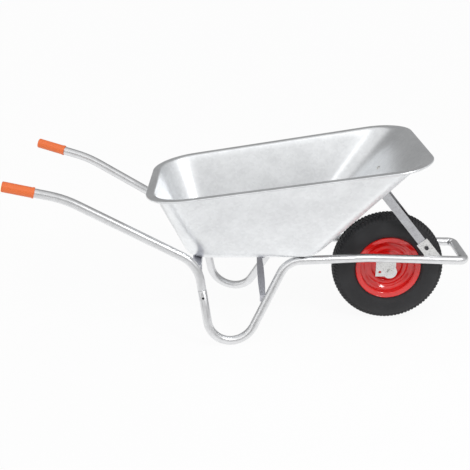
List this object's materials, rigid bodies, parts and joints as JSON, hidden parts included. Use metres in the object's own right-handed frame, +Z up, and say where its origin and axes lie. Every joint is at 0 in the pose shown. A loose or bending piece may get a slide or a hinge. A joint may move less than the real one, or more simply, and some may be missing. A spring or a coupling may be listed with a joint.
{
  "type": "builder's wheelbarrow",
  "caption": "Galvanised builder's wheelbarrow with a deep pressed tray, bent tube frame, orange grips and a pneumatic wheel on a red steel rim.",
  "frame": {"origin": "on the ground, at the middle of the length and on the barrow's middle plane", "axes": "+X forward to the wheel, +Y to the barrow's left, +Z up"},
  "size_m": [1.564, 0.608, 0.6568],
  "materials": {
    "tray_sheet": "hot-dip galvanised sheet, satin with faint spangle",
    "galvanised_tube": "hot-dip galvanised tube, satin",
    "galvanised_plate": "hot-dip galvanised plate, matt and speckled",
    "zinc_fastener": "zinc-plated",
    "tyre_rubber": "black tyre rubber",
    "black_rubber": "soft black rubber",
    "red_paint": "glossy red enamel",
    "orange_grip": "soft orange plastic",
    "bush_plastic": "dark nylon"
  },
  "bodies": {
    "root": {"tray": "tray_sheet", "frame_tube": "galvanised_tube", "handle_right": "galvanised_tube", "handle_left": "galvanised_tube", "grip_right": "orange_grip", "grip_left": "orange_grip", "handle_bolts": "zinc_fastener", "rear_cross_bar": "galvanised_plate", "leg_brace": "galvanised_plate", "stay_right": "galvanised_plate", "stay_left": "galvanised_plate", "stay_plate_right": "galvanised_plate", "stay_plate_left": "galvanised_plate", "axle_plate_right": "galvanised_plate", "axle_plate_left": "galvanised_plate", "axle_bolt": "zinc_fastener", "axle_nut": "zinc_fastener", "axle_spacers": "zinc_fastener", "tray_bolts": "zinc_fastener", "tray_nuts": "zinc_fastener", "tray_pads": "black_rubber", "stay_bolts": "zinc_fastener", "stay_nuts": "zinc_fastener", "stay_plate_bolts": "zinc_fastener", "stay_plate_nuts": "zinc_fastener"},
    "wheel": {"tyre": "tyre_rubber", "inner_tube": "black_rubber", "rim_right": "red_paint", "rim_left": "red_paint", "hub_tube": "red_paint", "bush_right": "bush_plastic", "bush_left": "bush_plastic", "valve_stem": "black_rubber", "valve_cap": "bush_plastic"}
  },
  "joints": [
    {"name": "wheel_spin", "type": "hinge", "parent": "root", "child": "wheel", "pos_m": [0.5065, 0, 0.2], "axis": [0, 1, 0], "continuous": true}
  ]
}
